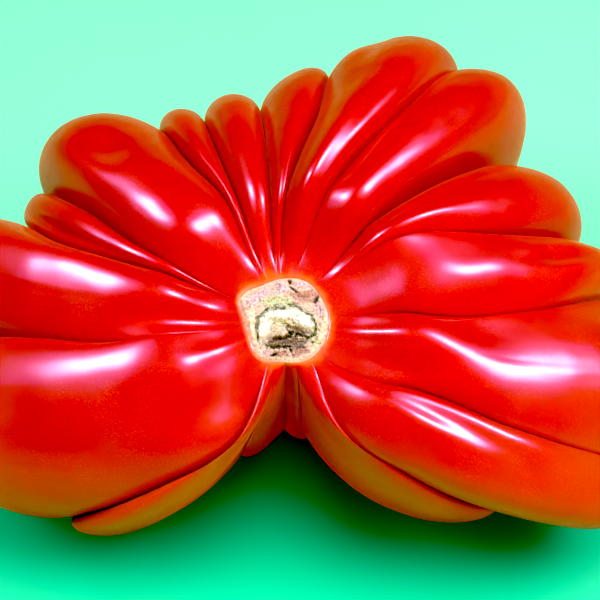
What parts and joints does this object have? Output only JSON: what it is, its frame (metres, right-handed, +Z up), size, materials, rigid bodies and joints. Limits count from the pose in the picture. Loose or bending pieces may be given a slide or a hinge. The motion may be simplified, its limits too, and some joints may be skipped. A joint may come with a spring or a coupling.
{
  "type": "tomato",
  "caption": "Big ribbed beefsteak tomato, wide and flattened, with a deep cleft at the front and a corky stem scar on top; it rests on a small flat spot.",
  "frame": {"origin": "middle of the fruit's plan, on the ground it rests on", "axes": "+Z up, -Y towards the front cleft, +X along the fruit's widest way"},
  "size_m": [0.154, 0.1122, 0.0702],
  "materials": {
    "skin": "glossy waxy skin, deep red, orange towards the underside and round the stem",
    "cork": "rough dry cork, tan to brown",
    "dry_stem": "rough dry fibre, pale green to cream"
  },
  "bodies": {
    "root": {"fruit": "skin", "cork_ring": "cork", "stem_stub": "dry_stem"}
  },
  "joints": []
}
